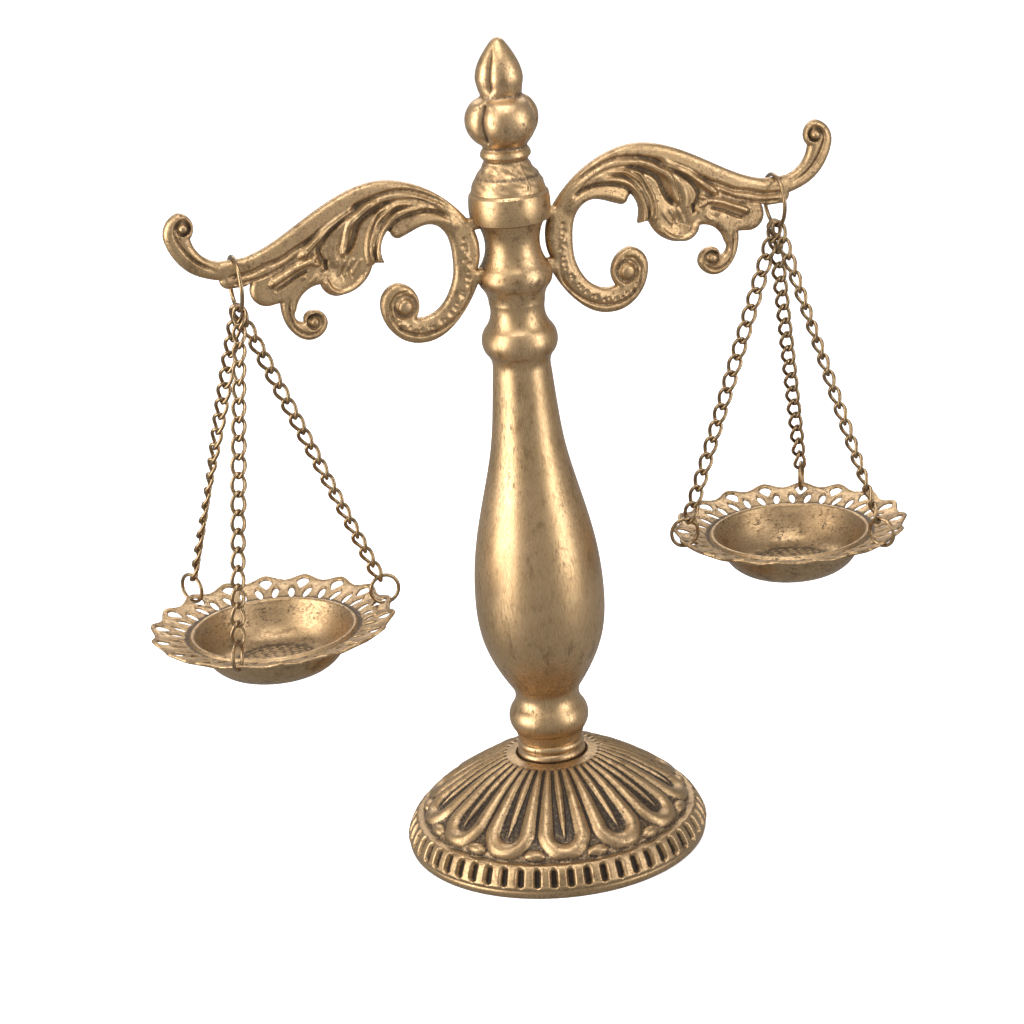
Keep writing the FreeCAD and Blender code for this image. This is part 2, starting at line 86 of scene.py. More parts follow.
def distance_to(line, spots, closed=False):
    """Distance from each spot to a polyline, and how far along it (0 to 1)."""
    line = np.asarray(line, float)
    ends = np.vstack([line[1:], line[:1]]) if closed else line[1:]
    starts = line if closed else line[:-1]
    lengths = np.linalg.norm(ends - starts, axis=1)
    run = np.concatenate([[0], np.cumsum(lengths)])
    best = np.full(len(spots), 1e9)
    share = np.zeros(len(spots))
    for k, (a, b) in enumerate(zip(starts, ends)):
        if lengths[k] < 1e-9:
            continue
        along = b - a
        t = np.clip(((spots - a) @ along) / lengths[k] ** 2, 0, 1)
        away = np.hypot(spots[:, 0] - a[0] - t * along[0], spots[:, 1] - a[1] - t * along[1])
        nearer = away < best
        best[nearer] = away[nearer]
        share[nearer] = (run[k] + t[nearer] * lengths[k]) / run[-1]
    return best, share


def is_within(loop, spots):
    """Even-odd test of spots against a closed outline."""
    result = np.zeros(len(spots), bool)
    for a, b in zip(loop, np.roll(loop, -1, axis=0)):
        if a[1] == b[1]:
            continue
        crosses = (spots[:, 1] < a[1]) != (spots[:, 1] < b[1])
        edge = a[0] + (spots[:, 1] - a[1]) * (b[0] - a[0]) / (b[1] - a[1])
        result ^= crosses & (spots[:, 0] < edge)
    return result


def smooth_step(low, high, value):
    t = np.clip((value - low) / (high - low), 0, 1)
    return t * t * (3 - 2 * t)


def plateau(value, limits):
    """1 between the middle two of four limits, falling smoothly to 0 outside them."""
    start, full_from, full_to, end = limits
    return smooth_step(start, full_from, value) * smooth_step(end, full_to, value)


def nearest(angle, first, count):
    """Signed angle from the nearest of `count` even marks, one of them at `first`."""
    pitch = 2 * math.pi / count
    return (angle - first + pitch / 2) % pitch - pitch / 2


def bump_shape(distance, half_width):
    """A rounded ridge: 1 on its line, falling smoothly to 0 at its edge."""
    t = np.clip(distance / half_width, 0, 1)
    return (1 - t * t) ** 2


def blurred(field, radius, wrap=(False, False)):
    """Gaussian blur of a grid, radius in cells; wraps round where told."""
    half = int(radius * 2.5) + 1
    kernel = np.exp(-0.5 * (np.arange(-half, half + 1) / radius) ** 2)
    kernel /= kernel.sum()
    for axis in (0, 1):
        pad = [(0, 0), (0, 0)]
        pad[axis] = (half, half)
        wide = np.pad(field, pad, mode="wrap" if wrap[axis] else "edge")
        parts = [np.take(wide, np.arange(k, k + field.shape[axis]), axis) * weight
                 for k, weight in enumerate(kernel)]
        field = np.sum(parts, axis=0)
    return field


def hollows(relief, radius, depth, wrap=(False, False)):
    """1 where the relief lies deep between higher ground, 0 on the ridges."""
    return np.clip((blurred(relief, radius, wrap) - relief) / depth, 0, 1)


CORNER_ROOM = 0.14      # a cut stays this share of a cell's side away from its corners


def march(field, wrap):
    """Cuts the grid along field = 0 and keeps where it is positive.

    Returns grid coordinates of the vertices, the faces, the rim edges and how
    many vertices are whole grid points. The second axis may wrap round.
    """
    rows, cols = field.shape
    inside = field > 0
    index = np.full(field.shape, -1)
    index[inside] = np.arange(inside.sum())
    spots = [tuple(s) for s in np.argwhere(inside).astype(float)]
    whole = len(spots)
    last = cols if wrap else cols - 1
    j0 = np.arange(last)
    j1 = (j0 + 1) % cols
    count = (inside[:-1][:, j0].astype(int) + inside[1:][:, j0]
             + inside[1:][:, j1] + inside[:-1][:, j1])
    faces = []
    for i, j in np.argwhere(count == 4):
        n = (j + 1) % cols
        faces.append((index[i, j], index[i + 1, j], index[i + 1, n], index[i, n]))
    cuts = {}

    def cut(a, b):
        key = (min(a, b), max(a, b))
        if key not in cuts:
            (i, j), (m, n) = key
            here, there = field[i, j % cols], field[m, n % cols]
            t = min(max(here / (here - there), CORNER_ROOM), 1 - CORNER_ROOM)
            cuts[key] = len(spots)
            spots.append((i + t * (m - i), j + t * (n - j)))
        return cuts[key]

    rims = []
    for i, j in np.argwhere((count > 0) & (count < 4)):
        i, j = int(i), int(j)
        corners = [(i, j), (i + 1, j), (i + 1, j + 1), (i, j + 1)]
        ring, crossing = [], []
        for a, b in zip(corners, corners[1:] + corners[:1]):
            here, there = inside[a[0], a[1] % cols], inside[b[0], b[1] % cols]
            if here:
                ring.append(index[a[0], a[1] % cols])
            if here != there:
                if wrap and (a[1] >= cols or b[1] >= cols) and a[1] == b[1]:
                    a, b = (a[0], a[1] % cols), (b[0], b[1] % cols)
                ring.append(cut(a, b))
                crossing.append((ring[-1], bool(here)))
        if len(ring) > 2:
            faces.append(tuple(ring))
        for (p, leaving), (q, _) in zip(crossing, crossing[1:] + crossing[:1]):
            if leaving:
                rims.append((p, q))
    return np.array(spots), faces, rims, whole


def two_sided(faces, rims, count, flip=False):
    """Faces of a closed sheet: front, back and the wall round every edge."""
    front = list(faces)
    back = [tuple(v + count for v in f[::-1]) for f in faces]
    walls = [(b, a, a + count, b + count) for a, b in rims]
    order = -1 if flip else 1
    return [tuple(int(v) for v in f[::order]) for f in front + back + walls]


def grid_faces(rows, cols):
    """Quads of a surface that closes round its second axis."""
    i, j = np.meshgrid(np.arange(rows - 1), np.arange(cols), indexing="ij")
    n = (j + 1) % cols
    quads = np.stack([i * cols + j, i * cols + n, (i + 1) * cols + n, (i + 1) * cols + j], -1)
    return [tuple(int(v) for v in q) for q in quads.reshape(-1, 4)]


def turned(radius, height, angles, centre=(0.0, 0.0)):
    """Points of a lathe: a row for each radius and height, a column for each angle."""
    x = centre[0] + radius * np.cos(angles)
    y = centre[1] + radius * np.sin(angles)
    return np.stack([x, y, height + 0 * angles], -1).reshape(-1, 3)


def round_about(count):
    """Even angles of a whole turn."""
    return np.linspace(0, 2 * math.pi, count, endpoint=False)


# ---- brass
# sRGB tones: two pairs of rubbed metal, the half-rubbed clouds, and the patina, which also
# colours the painted shade near neighbours
GOLD, PALE_GOLD = (204, 171, 126), (214, 182, 139)
BROWN, PALE_BROWN = (164, 131, 92), (172, 135, 94)
HALF_RUBBED = (108, 80, 52)
PATINA_AND_SHADE = (54, 41, 27)
DEEP_PATINA_AND_SHADE = (38, 28, 19)
MICRON = 1e-6


def linear(*rgb):
    """sRGB numbers of 0 to 255 as linear RGBA."""
    shares = [c / 255.0 for c in rgb]
    return (*(c / 12.92 if c <= 0.04045 else ((c + 0.055) / 1.055) ** 2.4 for c in shares), 1.0)


class Nodes:
    """Short ways to make and join the nodes of one material."""

    def __init__(self, name):
        self.material = bpy.data.materials.new(name)
        self.material.use_nodes = True
        self.tree = self.material.node_tree
        self.shader = self.tree.nodes["Principled BSDF"]
        self.place = self.tree.nodes.new("ShaderNodeTexCoord").outputs["Object"]

    def put(self, value, socket):
        if isinstance(value, bpy.types.NodeSocket):
            self.tree.links.new(value, socket)
        else:
            socket.default_value = value

    def fill(self, node, inputs):
        """Puts values on a node's inputs, or links to them."""
        for socket, value in inputs.items():
            self.put(value, node.inputs[socket])
        return node

    def make(self, kind, inputs):
        return self.fill(self.tree.nodes.new("ShaderNode" + kind), inputs)

    def noise(self, size_mm, stretch=(1, 1, 1), detail=3.0, rough=0.55, warp=0.0):
        """Noise with grains of about size_mm; a stretch over 1 draws them out."""
        mapping = self.make("Mapping", {"Vector": self.place, "Scale": [1 / s for s in stretch]})
        node = self.make("TexNoise", {"Vector": mapping.outputs["Vector"],
                                      "Scale": 1 / (size_mm * MM), "Detail": detail,
                                      "Roughness": rough, "Distortion": warp})
        return node.outputs["Fac"]

    def ramp(self, value, low, high, start=0.0, end=1.0):
        node = self.make("MapRange", {"Value": value, "From Min": low, "From Max": high,
                                      "To Min": start, "To Max": end})
        node.interpolation_type = "SMOOTHSTEP"
        return node.outputs["Result"]

    def math(self, operation, a, b):
        node = self.make("Math", {0: a, 1: b})
        node.operation = operation
        return node.outputs[0]

    def mix(self, share, first, second):
        node = self.tree.nodes.new("ShaderNodeMix")
        node.data_type = "RGBA"
        return self.fill(node, {0: share, 6: first, 7: second}).outputs[2]

    def attribute(self, name):
        node = self.tree.nodes.new("ShaderNodeAttribute")
        node.attribute_name = name
        return node.outputs["Fac"]

    def occlusion_shade(self, reach_mm):
        """Painted shade from ambient occlusion: 0 in the open, towards 1 in corners and under
        neighbours within reach.
        """
        node = self.make("AmbientOcclusion", {"Distance": reach_mm * MM})
        node.samples = 8
        return self.math("SUBTRACT", 1.0, node.outputs["AO"])

    def bump(self, height, strength, depth_um):
        node = self.make("Bump", {"Height": height, "Strength": strength,
                                  "Distance": depth_um * MICRON})
        self.fill(self.shader, {"Normal": node.outputs["Normal"]})


def brass(name, grain=(1, 1, 1), grain_mm=0.6, bumpiness=0.5, relief_um=30.0, roughness=0.38,
          speckle=0.4, mottle=0.45, cavity=True, shade_reach_mm=4.0, grime_and_shade=0.95, patina_and_shade_tint=0.85,
          patina_and_shade_colour=PATINA_AND_SHADE, shade=1.0):
    """Antiqued brass: warm metal, dark patina in hollows and painted shade near neighbours,
    brushed and speckled.

    grain draws the marks out along x, y and z, and grain_mm is their size;
    bumpiness and relief_um are the strength and the depth of their bump.
    speckle and mottle say how strong the dark flecks and the half-rubbed
    clouds are. Patina gathers where the mesh's cavity attribute says. Within
    shade_reach_mm of a neighbour the same dark is laid on as patina and painted
    shade from occlusion, as much as grime_and_shade says. Together they hide
    the metal up to patina_and_shade_tint. shade dims the metal.
    """
    def tone(rgb):
        return linear(*(c * shade for c in rgb))

    def drawn_out(share):
        """The grain with only a share of its stretch."""
        return tuple(1 + share * (g - 1) for g in grain)

    n = Nodes(name)
    broad = n.noise(16.0, detail=2.0)
    streaks = n.noise(grain_mm, grain, detail=4.0, rough=0.65)
    fine = n.noise(0.25, detail=2.0)
    spots = n.noise(0.85, drawn_out(0.35), detail=4.0, rough=0.7, warp=0.3)
    gold = n.mix(n.ramp(broad, 0.3, 0.7), tone(GOLD), tone(PALE_GOLD))
    brown = n.mix(n.ramp(broad, 0.35, 0.65), tone(BROWN), tone(PALE_BROWN))
    metal = n.mix(n.ramp(streaks, 0.34, 0.68, 0.0, 0.7), gold, brown)
    # clouds of half-rubbed patina
    clouds = n.noise(4.0, drawn_out(0.12), detail=6.0, rough=0.72)
    metal = n.mix(n.ramp(clouds, 0.5, 0.68, 0.0, mottle), metal, tone(HALF_RUBBED))
    # patina where rubbing never reaches, and near neighbours patina with painted shade from
    # occlusion, broken up by the speckle
    patina_and_shade_mask = n.math("MULTIPLY", n.occlusion_shade(shade_reach_mm), grime_and_shade)
    if cavity:
        patina_and_shade_mask = n.math("ADD", patina_and_shade_mask, n.attribute("cavity"))
    ragged = n.math("ADD", patina_and_shade_mask, n.ramp(spots, 0.3, 0.7, -0.28, 0.28))
    hidden = n.ramp(ragged, 0.34, 1.12, 0.0, patina_and_shade_tint)
    # dark flecks, in patches
    flecks = n.ramp(spots, 0.53, 0.64, 0.0, speckle)
    patches = n.ramp(n.noise(6.0, grain, detail=3.0), 0.42, 0.6, 0.08, 1.0)
    flecks = n.math("MULTIPLY", flecks, patches)
    # the darkest of the patina with painted shade and the flecks
    patina_and_shade = n.math("MAXIMUM", hidden, flecks)
    dulled = n.math("ADD", n.ramp(streaks, 0.3, 0.7, roughness - 0.05, roughness + 0.08),
                    n.math("MULTIPLY", patina_and_shade, 0.25))
    n.fill(n.shader, {"Base Color": n.mix(patina_and_shade, metal, linear(*patina_and_shade_colour)),
                      "Metallic": n.ramp(patina_and_shade, 0.0, 1.0, 1.0, 0.5), "Roughness": dulled,
                      "Coat Weight": 0.15, "Coat Roughness": 0.35})
    height = n.math("ADD", n.math("MULTIPLY", streaks, 1.2), fine)
    height = n.math("SUBTRACT", height, n.math("MULTIPLY", flecks, 0.9))
    n.bump(height, bumpiness, relief_um)
    return n.material


def plated_steel():
    """Zinc-plated steel, dulled, with a dark film and painted shade in the corners."""
    n = Nodes("plated_steel")
    cloud = n.noise(2.5, detail=4.0)
    # painted shade from occlusion near neighbours, with a dark film, broken up by the cloud
    film_and_shade = n.ramp(n.math("ADD", n.occlusion_shade(3.0), n.ramp(cloud, 0.3, 0.7, -0.2, 0.2)), 0.3, 0.9)
    zinc = n.mix(n.ramp(cloud, 0.35, 0.65), linear(168, 168, 166), linear(140, 139, 134))
    n.fill(n.shader, {"Base Color": n.mix(film_and_shade, zinc, linear(70, 64, 55)), "Metallic": 1.0,
                      "Roughness": n.ramp(cloud, 0.3, 0.7, 0.3, 0.5)})
    n.bump(n.noise(0.3), 0.4, 20.0)
    return n.material


UPRIGHT = (1, 1, 9)         # grain drawn out along z, as turning leaves it
foot_brass = brass("foot_brass", bumpiness=0.6, relief_um=40.0, roughness=0.42, speckle=0.6,
                   mottle=0.6, patina_and_shade_tint=0.97, patina_and_shade_colour=DEEP_PATINA_AND_SHADE, shade=0.9)
cast_brass = brass("cast_brass", bumpiness=0.7, relief_um=50.0, roughness=0.42, speckle=0.75,
                   mottle=0.6, shade=0.97)
turned_brass = brass("turned_brass", grain=UPRIGHT, grain_mm=0.3, bumpiness=0.4, speckle=0.6,
                     cavity=False, shade_reach_mm=6.0)
# the hub's wide, strong occlusion paints shade, with patina, under its band and round its
# swelling
hub_brass = brass("hub_brass", grain=(1, 1, 1.6), grain_mm=0.4, bumpiness=0.5, speckle=0.85,
                  mottle=0.7, cavity=False, shade_reach_mm=8.0, grime_and_shade=1.5)
finial_brass = brass("finial_brass", grain=(1, 1, 2), bumpiness=0.55, relief_um=40.0,
                     speckle=0.7, mottle=0.55)
pan_brass = brass("pan_brass", grain=(3, 3, 1), grain_mm=0.35, bumpiness=0.45, roughness=0.4,
                  speckle=0.85, mottle=0.6, shade=0.9)
wire_brass = brass("wire_brass", grain_mm=0.5, bumpiness=0.5, roughness=0.28, speckle=0.6,
                   cavity=False, shade_reach_mm=1.2, shade=0.8)
steel = plated_steel()


def finish_with(obj, material):
    obj.data.materials.clear()
    obj.data.materials.append(material)


# ---- foot
PETALS = 13
NOTCHES = 55
FRONT_GAP = math.radians(-90.6)         # middle of the gap between petals at the front
FLANK = math.cos(math.radians(39.0))    # the flank slopes down at 39 degrees
PETAL_ARM = math.radians(9.25)          # from a petal's middle line to each of its arms
TIP_START = 37.4                        # radius where the arms turn into the round tip
TIP_RADIUS = 6.05
TIP_SQUEEZE = 0.95
PEARL_AT, PEARL_HALF_WIDTH, PEARL_HALF_LENGTH, PEARL_RISE = 43.1, 3.7, 2.3, 1.9
PEARL_SUNK = 0.15
GROOVE_HEIGHT, GROOVE_RADIUS, GROOVE_DEPTH = 11.0, 43, 0.5
BAND_HEIGHTS = (2.7, 3.9, 9.4, 10.4)
BAND_RADIUS, BAND_RISE = 49.0, 0.95
NOTCH_HEIGHT, NOTCH_HALF_STRAIGHT = 6.5, 1.7
NOTCH_HALF_WIDTH, NOTCH_END, NOTCH_DEPTH = 1.8, 1.5, 2.0
LIP_HEIGHT, LIP_RADIUS, LIP_DEPTH = 3.1, 48, 0.25
FLUTED_RADII = (14.9, 15.6, 43.6, 45.4)
# values that change with the radius: the radii, then the value at each
PETAL_WIDTH = ([15, 26, 38], [0.95, 1.9, 3.1])
PETAL_RISE = ([15.0, 16.5, 30, 38, 43], [0.0, 0.8, 1.4, 1.9, 1.9])
RIB_WIDTH = ([15, 24, 34, 39.6], [0.85, 1.5, 1.15, 0.2])
RIB_RISE = ([15.0, 16.5, 34, 38, 39.8], [0.0, 0.8, 1.25, 0.8, 0.0])
GROUND_DARK = ([16, 36, 41, 44], [1.0, 1.0, 0.75, 0.6])
GROUND_DEPTH = ([15.0, 16.5, 30, 41, 44.5, 45.2], [0.0, 0.35, 0.5, 0.5, 0.2, 0.0])
FOOT_OUTSIDE = [(12.0, 30.0), (12.2, 30.5), (15.5, 29.9), (18.0, 29.0), (26.0, 25.0),
                (36.0, 18.0), (44.2, 11.2), (45.6, 9.9), (47.0, 8.6), (48.4, 6.2), (49.2, 4.2),
                (49.8, 3.5), (50.0, 1.9), (49.7, 0.6), (49.2, 0.0)]
FOOT_INSIDE = [(49.2, 0.0), (46.2, 0.0), (46.0, 3.0), (41.0, 9.3), (34.0, 15.0), (24.5, 21.6),
               (17.0, 25.2), (10.0, 26.0), (2.8, 26.0), (2.8, 30.0), (12.0, 30.0)]
FOOT_STEP, FOOT_INSIDE_STEP = 0.32, 2.2
FOOT_COLS = NOTCHES * 20


def petal_ridges(radius, angle):
    """Relief of the petals, and how far their arms rise at this radius."""
    across = radius * nearest(angle, FRONT_GAP + math.pi / PETALS, PETALS)
    down = (radius - TIP_START) / FLANK
    arms = np.abs(across) - radius * PETAL_ARM
    tip = np.hypot(across, down * TIP_SQUEEZE) - TIP_RADIUS
    loop = np.abs(np.where(down > 0, tip, arms))
    rise = np.interp(radius, *PETAL_RISE)
    relief = rise * np.sqrt(bump_shape(loop, np.interp(radius, *PETAL_WIDTH)))
    # the rib down the middle narrows to a point inside the tip
    rib = bump_shape(np.abs(across), np.interp(radius, *RIB_WIDTH))
    return np.maximum(relief, np.interp(radius, *RIB_RISE) * np.sqrt(rib)), rise


def pearls(radius, angle):
    """Relief of the flat pearls in the gaps between the tips."""
    across = radius * nearest(angle, FRONT_GAP, PETALS)
    reach = np.hypot(across / PEARL_HALF_WIDTH,
                     (radius - PEARL_AT) / FLANK / PEARL_HALF_LENGTH)
    return PEARL_RISE * np.sqrt(np.clip(1 - reach ** 2, 0, 1)) - PEARL_SUNK


def notches(height, angle):
    """1 in the middle of a round-ended notch, falling to 0 at its edge."""
    across = BAND_RADIUS * nearest(angle, FRONT_GAP, NOTCHES)
    beyond = np.clip(np.abs(height - NOTCH_HEIGHT) - NOTCH_HALF_STRAIGHT, 0, None)
    return bump_shape(np.hypot(across / NOTCH_HALF_WIDTH, beyond / NOTCH_END), 1.0)


def foot_relief(radius, height, angle):
    """Relief of the foot in mm and how dark it is, at a radius, height and angle."""
    relief, rise = petal_ridges(radius, angle)
    relief = np.maximum(relief, pearls(radius, angle))
    dark = smooth_step(0.62, 0.1, relief / np.clip(rise, 0.5, None))
    dark = dark * plateau(radius, FLUTED_RADII) * np.interp(radius, *GROUND_DARK)
    # the ground sinks between the ridges and towards the tips
    relief -= np.interp(radius, *GROUND_DEPTH)
    # a groove, then the notched band with rounded bars, then the plain lip
    from_groove = np.abs(height - GROOVE_HEIGHT)
    at_groove = radius > GROOVE_RADIUS
    relief -= GROOVE_DEPTH * bump_shape(from_groove, 0.9) * at_groove
    band = plateau(height, BAND_HEIGHTS)
    notch = notches(height, angle) * band
    relief += BAND_RISE * band - NOTCH_DEPTH * notch
    at_lip = radius > LIP_RADIUS
    relief -= LIP_DEPTH * bump_shape(np.abs(height - LIP_HEIGHT), 0.8) * at_lip
    dark = np.maximum(dark, smooth_step(0.35, 0.85, notch))
    return relief, np.maximum(dark, 0.7 * bump_shape(from_groove, 1.0) * at_groove)


def make_foot():
    outside = resample(curve_through(FOOT_OUTSIDE, 12), FOOT_STEP)
    angles = round_about(FOOT_COLS)
    along = np.gradient(outside, axis=0)
    normal = np.column_stack([-along[:, 1], along[:, 0]])
    normal /= np.linalg.norm(normal, axis=1)[:, None]
    radius, height = outside.T[:, :, None]
    relief, dark = foot_relief(radius, height, angles[None, :])
    # both ends of the line stay plain, where they meet the inside
    relief[:3] = relief[-3:] = 0.0
    radius = radius + normal[:, 0][:, None] * relief
    height = height + normal[:, 1][:, None] * relief
    inside = resample(np.array(FOOT_INSIDE), FOOT_INSIDE_STEP)[1:-1]
    rows = len(outside) + len(inside)
    points = np.vstack([turned(radius, height, angles),
                        turned(*inside.T[:, :, None], angles)])
    faces = grid_faces(rows, FOOT_COLS)
    last = (rows - 1) * FOOT_COLS
    for j in range(FOOT_COLS):
        n = (j + 1) % FOOT_COLS
        faces.append((last + j, last + n, n, j))
    cavity = np.concatenate([dark.ravel(), np.zeros(len(inside) * FOOT_COLS)])
    faces = [f[::-1] for f in faces]
    return piece("foot", points, faces, "stand", "base", cavity)


# ---- finial
FINIAL_LINE = [(11.9, 0.0), (11.5, 1.5), (10.8, 3.5), (9.9, 5.0), (8.4, 7.0), (7.5, 8.6),
               (6.95, 9.6), (7.3, 10.4), (8.0, 11.4), (7.7, 12.8), (7.0, 13.8), (7.5, 14.9),
               (9.6, 16.6), (11.3, 19.2), (11.95, 22.2), (11.5, 25.2), (9.7, 28.0),
               (7.2, 29.6), (6.5, 30.4), (7.0, 32.0), (7.6, 34.6), (7.65, 36.4), (7.0, 39.2),
               (5.5, 42.2), (3.6, 45.0), (1.8, 47.2), (0.6, 47.9)]
LOBES_ROUND = 3
CREASE_ANGLE = math.radians(-147.0)
BUD_TURN = 0.22             # the bud's creases lie this far round from the bulb's
SEAM_ANGLE = math.radians(-72.0)
FINIAL_TIP = 48.0
FINIAL_STEP, FINIAL_COLS = 0.3, 240
ROD_RADIUS = 2.5
# heights above the finial's foot between which each part lies
CONE, NECK = (0.6, 1.8, 3.2, 4.6), (3.4, 5.0, 8.6, 10.4)
BULB, BUD = (14.6, 18.0, 27.0, 30.2), (30.6, 33.5, 41.0, 47.0)
# rings of patina: height, half width and how dark
CREVICES = ((5.0, 1.2, 0.9), (10.0, 0.9, 0.8), (14.2, 1.1, 0.9), (30.3, 1.0, 0.8))


def finial_sink(height, angles):
    """How far the finial's surface lies inside its plain turned shape, in mm."""
    # between two creases the bulb and the bud swell like balls
    lobes = np.abs(nearest(angles, CREASE_ANGLE, LOBES_ROUND))
    petals = np.abs(nearest(angles, CREASE_ANGLE + BUD_TURN, LOBES_ROUND))
    sink = (plateau(height, BULB) * (2.5 * np.exp(-lobes / 0.17) + 0.5 * bump_shape(lobes, 0.7))
            + plateau(height, BUD) * (1.25 * np.exp(-petals / 0.12)
                                      + 0.25 * bump_shape(petals, 0.6)))
    # the cone and the neck under them are roughly cast
    cone, neck = plateau(height, CONE), plateau(height, NECK)
    rough = (np.sin(5 * angles + 0.8 * height) * np.sin(3 * angles - 1.1 * height + 1.0)
             + 0.6 * np.sin(11 * angles + 2.3 * height))
    sink = sink + 0.16 * (cone + neck) * rough
    # casting seam down the front right
    seam = np.abs(nearest(angles, SEAM_ANGLE, 1))
    return sink - 0.4 * (cone + 0.6 * neck) * bump_shape(seam, 0.05)


def make_finial():
    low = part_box("finial")[0].z / MM
    line = resample(curve_through(FINIAL_LINE, 8), FINIAL_STEP)
    angles = round_about(FINIAL_COLS)
    radius, height = line.T[:, :, None]
    sink = finial_sink(height, angles[None, :])
    radius = np.clip(radius - sink, 0.3, None)
    rows, cols = radius.shape
    faces = grid_faces(rows, cols)
    # underside down to the rod, and the rounded tip
    points = np.vstack([turned(radius, low + height, angles),
                        turned(ROD_RADIUS, low, angles), (0.0, 0.0, low + FINIAL_TIP)])
    first = rows * cols
    top = first - cols
    for j in range(cols):
        n = (j + 1) % cols
        faces.append((first + j, first + n, n, j))
        faces.append((top + j, top + n, first + cols))
    faces.append(tuple(first + j for j in range(cols))[::-1])
    dark = hollows(-sink, 4.0, 0.5, (False, True))
    for at, half, share in CREVICES:
        dark = dark + share * bump_shape(np.abs(height - at), half)
    cavity = np.concatenate([np.clip(dark, 0, 1).ravel(), np.zeros(cols + 1)])
    return piece("bud_finial", points, faces, "stand", "finial", cavity)


# ---- arms
# the inner band of the lower scroll, which carries a row of punched dents
PUNCHED_PATH = [(16.3, 209), (16.2, 204), (15.6, 199), (16.6, 194.5), (18.7, 191),
                (20.8, 188), (23.4, 185.4), (26.6, 183.5), (30, 182.6), (33.5, 182.3),
                (37.5, 183.8), (40, 185.5)]
# two ribs of the leaf, whose crests carry a fine line
LEFT_RIB = [(42.5, 225), (46.3, 224), (49.3, 221.9), (51.8, 220.2), (53.3, 217.7),
            (54.2, 214.6), (55, 212), (55.3, 210.2)]
RIGHT_RIB = [(49.6, 224.7), (55, 221.9), (59.4, 219.5), (62.2, 217.1), (64.8, 214.7),
             (67, 212.8), (68.3, 211.7)]
